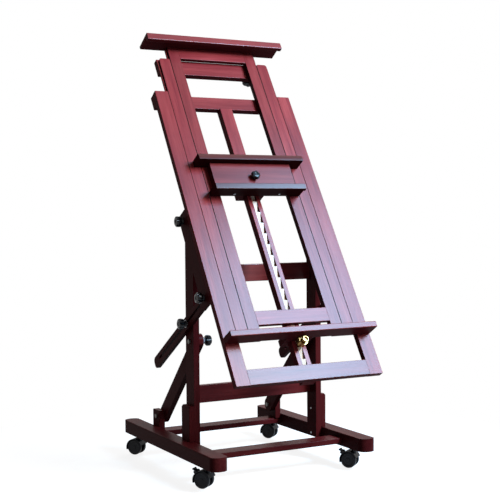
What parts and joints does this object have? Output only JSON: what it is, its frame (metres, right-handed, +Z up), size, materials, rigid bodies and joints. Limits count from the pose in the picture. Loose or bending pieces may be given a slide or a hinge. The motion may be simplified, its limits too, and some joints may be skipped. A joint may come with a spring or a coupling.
{
  "type": "artist easel",
  "caption": "Wooden studio easel on casters: slotted stays and clamp knobs tilt a panel of sliding frames with a ratchet tray and a clamped canvas holder.",
  "frame": {"origin": "on the floor, in the middle of the easel's width and depth", "axes": "+X across the easel to its right, +Y to the back, +Z up"},
  "size_m": [0.5856, 0.7726, 1.3997],
  "materials": {
    "stained_wood": "dark red mahogany stain under satin varnish",
    "pale_wood": "clear varnished beech",
    "knob_plastic": "glossy black moulded plastic",
    "grey_plastic": "satin grey",
    "steel": "bright zinc plate",
    "brass": "polished",
    "black_metal": "black paint",
    "caster_plastic": "satin black",
    "wheel_plastic": "satin black nylon"
  },
  "bodies": {
    "base": {"side_rail_left": "stained_wood", "side_rail_right": "stained_wood", "crossbars": "stained_wood", "post_left": "stained_wood", "post_right": "stained_wood", "post_blocks": "stained_wood", "rear_blocks": "stained_wood", "mid_rail": "stained_wood", "upper_rail": "stained_wood", "braces": "stained_wood", "base_bolts": "steel", "brace_collars": "grey_plastic", "corner_plate": "black_metal", "caster_stems": "steel"},
    "outer_frame": {"outer_stile_left": "stained_wood", "outer_stile_right": "stained_wood", "outer_bottom_rail": "stained_wood", "outer_top_bar": "stained_wood", "centre_stile": "stained_wood", "rack": "pale_wood", "cheek_left": "stained_wood", "cheek_right": "stained_wood", "cheek_bolts": "steel"},
    "middle_frame": {"middle_stiles": "stained_wood", "middle_top_bar": "stained_wood"},
    "inner_frame": {"inner_stiles": "stained_wood", "inner_rails": "stained_wood", "top_holder": "stained_wood"},
    "canvas_holder": {"holder_board": "stained_wood", "holder_shelves": "stained_wood", "holder_shoe": "stained_wood"},
    "tray": {"tray_board": "stained_wood", "tray_shoe": "stained_wood", "catch_housing": "brass"},
    "tray_catch": {"catch_plunger": "brass"},
    "holder_knob": {"holder_knob": "knob_plastic"},
    "outer_clamp": {"outer_clamp_knob": "knob_plastic"},
    "middle_clamp": {"middle_clamp_knob": "knob_plastic"},
    "stay_clamp_left": {"stay_bolt_left": "steel"},
    "stay_left": {"stay_left": "stained_wood"},
    "tilt_knob_left": {"tilt_knob_left": "knob_plastic"},
    "cheek_knob_left": {"cheek_knob_left": "knob_plastic"},
    "stay_knob_left": {"stay_knob_left": "knob_plastic"},
    "brace_knob_left": {"brace_knob_left": "knob_plastic"},
    "caster_front_left": {"caster_front_left": "caster_plastic"},
    "wheels_front_left": {"wheels_front_left": "wheel_plastic"},
    "caster_rear_left": {"caster_rear_left": "caster_plastic"},
    "wheels_rear_left": {"wheels_rear_left": "wheel_plastic"},
    "brake_left": {"brake_left": "caster_plastic"},
    "stay_clamp_right": {"stay_bolt_right": "steel"},
    "stay_right": {"stay_right": "stained_wood"},
    "tilt_knob_right": {"tilt_knob_right": "knob_plastic"},
    "cheek_knob_right": {"cheek_knob_right": "knob_plastic"},
    "stay_knob_right": {"stay_knob_right": "knob_plastic"},
    "brace_knob_right": {"brace_knob_right": "knob_plastic"},
    "caster_front_right": {"caster_front_right": "caster_plastic"},
    "wheels_front_right": {"wheels_front_right": "wheel_plastic"},
    "caster_rear_right": {"caster_rear_right": "caster_plastic"},
    "wheels_rear_right": {"wheels_rear_right": "wheel_plastic"},
    "brake_right": {"brake_right": "caster_plastic"}
  },
  "joints": [
    {"name": "panel_tilt", "type": "hinge", "parent": "base", "child": "outer_frame", "pos_m": [0, -0.03873, 0.784], "axis": [-1, 0, 0], "range_deg": [-12, 28]},
    {"name": "middle_frame_slide", "type": "slide", "parent": "outer_frame", "child": "middle_frame", "axis": [0, 0.5299, 0.848], "range_m": [-0.014, 0.34]},
    {"name": "inner_frame_slide", "type": "slide", "parent": "middle_frame", "child": "inner_frame", "axis": [0, 0.5299, 0.848], "range_m": [-0.014, 0.3]},
    {"name": "canvas_holder_slide", "type": "slide", "parent": "outer_frame", "child": "canvas_holder", "axis": [0, 0.5299, 0.848], "range_m": [-0.38, 0.235]},
    {"name": "tray_slide", "type": "slide", "parent": "outer_frame", "child": "tray", "axis": [0, 0.5299, 0.848], "range_m": [0, 0.03]},
    {"name": "catch_pull", "type": "slide", "parent": "tray", "child": "tray_catch", "axis": [0, -0.848, 0.5299], "range_m": [0, 0.009]},
    {"name": "holder_knob_turn", "type": "hinge", "parent": "canvas_holder", "child": "holder_knob", "pos_m": [0, -0.04129, 0.92238], "axis": [0, -0.848, 0.5299], "continuous": true},
    {"name": "outer_clamp_turn", "type": "hinge", "parent": "outer_frame", "child": "outer_clamp", "pos_m": [0.183, 0.18552, 1.16271], "axis": [0, -0.848, 0.5299], "continuous": true},
    {"name": "middle_clamp_turn", "type": "hinge", "parent": "middle_frame", "child": "middle_clamp", "pos_m": [0.143, 0.25452, 1.27407], "axis": [0, -0.848, 0.5299], "continuous": true},
    {"name": "stay_swing_left", "type": "hinge", "parent": "base", "child": "stay_clamp_left", "pos_m": [-0.23, -0.03873, 0.469], "axis": [1, 0, 0], "range_deg": [-5, 3]},
    {"name": "stay_slide_left", "type": "slide", "parent": "stay_clamp_left", "child": "stay_left", "axis": [0, -0.8444, 0.5357], "range_m": [-0.06, 0.135]},
    {"name": "tilt_knob_left_turn", "type": "hinge", "parent": "base", "child": "tilt_knob_left", "pos_m": [-0.25, -0.03873, 0.784], "axis": [1, 0, 0], "continuous": true},
    {"name": "cheek_knob_left_turn", "type": "hinge", "parent": "outer_frame", "child": "cheek_knob_left", "pos_m": [-0.25, -0.17969, 0.55842], "axis": [1, 0, 0], "continuous": true},
    {"name": "stay_knob_left_turn", "type": "hinge", "parent": "stay_clamp_left", "child": "stay_knob_left", "pos_m": [-0.2443, -0.03873, 0.469], "axis": [1, 0, 0], "continuous": true},
    {"name": "brace_knob_left_turn", "type": "hinge", "parent": "base", "child": "brace_knob_left", "pos_m": [-0.1825, -0.03873, 0.413], "axis": [1, 0, 0], "continuous": true},
    {"name": "swivel_front_left", "type": "hinge", "parent": "base", "child": "caster_front_left", "pos_m": [-0.2575, -0.21774, 0.05], "axis": [0, 0, 1], "continuous": true},
    {"name": "roll_front_left", "type": "hinge", "parent": "caster_front_left", "child": "wheels_front_left", "pos_m": [-0.26612, -0.2067, 0.025], "axis": [0.788, 0.6157, 0], "continuous": true},
    {"name": "swivel_rear_left", "type": "hinge", "parent": "base", "child": "caster_rear_left", "pos_m": [-0.2575, 0.30027, 0.05], "axis": [0, 0, 1], "continuous": true},
    {"name": "roll_rear_left", "type": "hinge", "parent": "caster_rear_left", "child": "wheels_rear_left", "pos_m": [-0.26612, 0.3113, 0.025], "axis": [0.788, 0.6157, 0], "continuous": true},
    {"name": "brake_press_left", "type": "hinge", "parent": "caster_front_left", "child": "brake_left", "pos_m": [-0.28085, -0.18785, 0.04655], "axis": [-0.788, -0.6157, 0], "range_deg": [0, 14]},
    {"name": "stay_swing_right", "type": "hinge", "parent": "base", "child": "stay_clamp_right", "pos_m": [0.23, -0.03873, 0.469], "axis": [1, 0, 0], "range_deg": [-5, 3]},
    {"name": "stay_slide_right", "type": "slide", "parent": "stay_clamp_right", "child": "stay_right", "axis": [0, -0.8444, 0.5357], "range_m": [-0.06, 0.135]},
    {"name": "tilt_knob_right_turn", "type": "hinge", "parent": "base", "child": "tilt_knob_right", "pos_m": [0.25, -0.03873, 0.784], "axis": [1, 0, 0], "continuous": true},
    {"name": "cheek_knob_right_turn", "type": "hinge", "parent": "outer_frame", "child": "cheek_knob_right", "pos_m": [0.25, -0.17969, 0.55842], "axis": [1, 0, 0], "continuous": true},
    {"name": "stay_knob_right_turn", "type": "hinge", "parent": "stay_clamp_right", "child": "stay_knob_right", "pos_m": [0.2443, -0.03873, 0.469], "axis": [1, 0, 0], "continuous": true},
    {"name": "brace_knob_right_turn", "type": "hinge", "parent": "base", "child": "brace_knob_right", "pos_m": [0.1825, -0.03873, 0.413], "axis": [1, 0, 0], "continuous": true},
    {"name": "swivel_front_right", "type": "hinge", "parent": "base", "child": "caster_front_right", "pos_m": [0.2575, -0.21774, 0.05], "axis": [0, 0, 1], "continuous": true},
    {"name": "roll_front_right", "type": "hinge", "parent": "caster_front_right", "child": "wheels_front_right", "pos_m": [0.24888, -0.2067, 0.025], "axis": [0.788, 0.6157, 0], "continuous": true},
    {"name": "swivel_rear_right", "type": "hinge", "parent": "base", "child": "caster_rear_right", "pos_m": [0.2575, 0.30027, 0.05], "axis": [0, 0, 1], "continuous": true},
    {"name": "roll_rear_right", "type": "hinge", "parent": "caster_rear_right", "child": "wheels_rear_right", "pos_m": [0.24888, 0.3113, 0.025], "axis": [0.788, 0.6157, 0], "continuous": true},
    {"name": "brake_press_right", "type": "hinge", "parent": "caster_front_right", "child": "brake_right", "pos_m": [0.23415, -0.18785, 0.04655], "axis": [-0.788, -0.6157, 0], "range_deg": [0, 14]}
  ],
  "couplings": [
    {"joint": "catch_pull", "follows": "tray_slide", "ratio": 0.254},
    {"joint": "stay_swing_left", "follows": "panel_tilt", "ratio": -0.137},
    {"joint": "stay_slide_left", "follows": "panel_tilt", "m_per_rad": 0.2651},
    {"joint": "stay_swing_right", "follows": "panel_tilt", "ratio": -0.137},
    {"joint": "stay_slide_right", "follows": "panel_tilt", "m_per_rad": 0.2651}
  ]
}
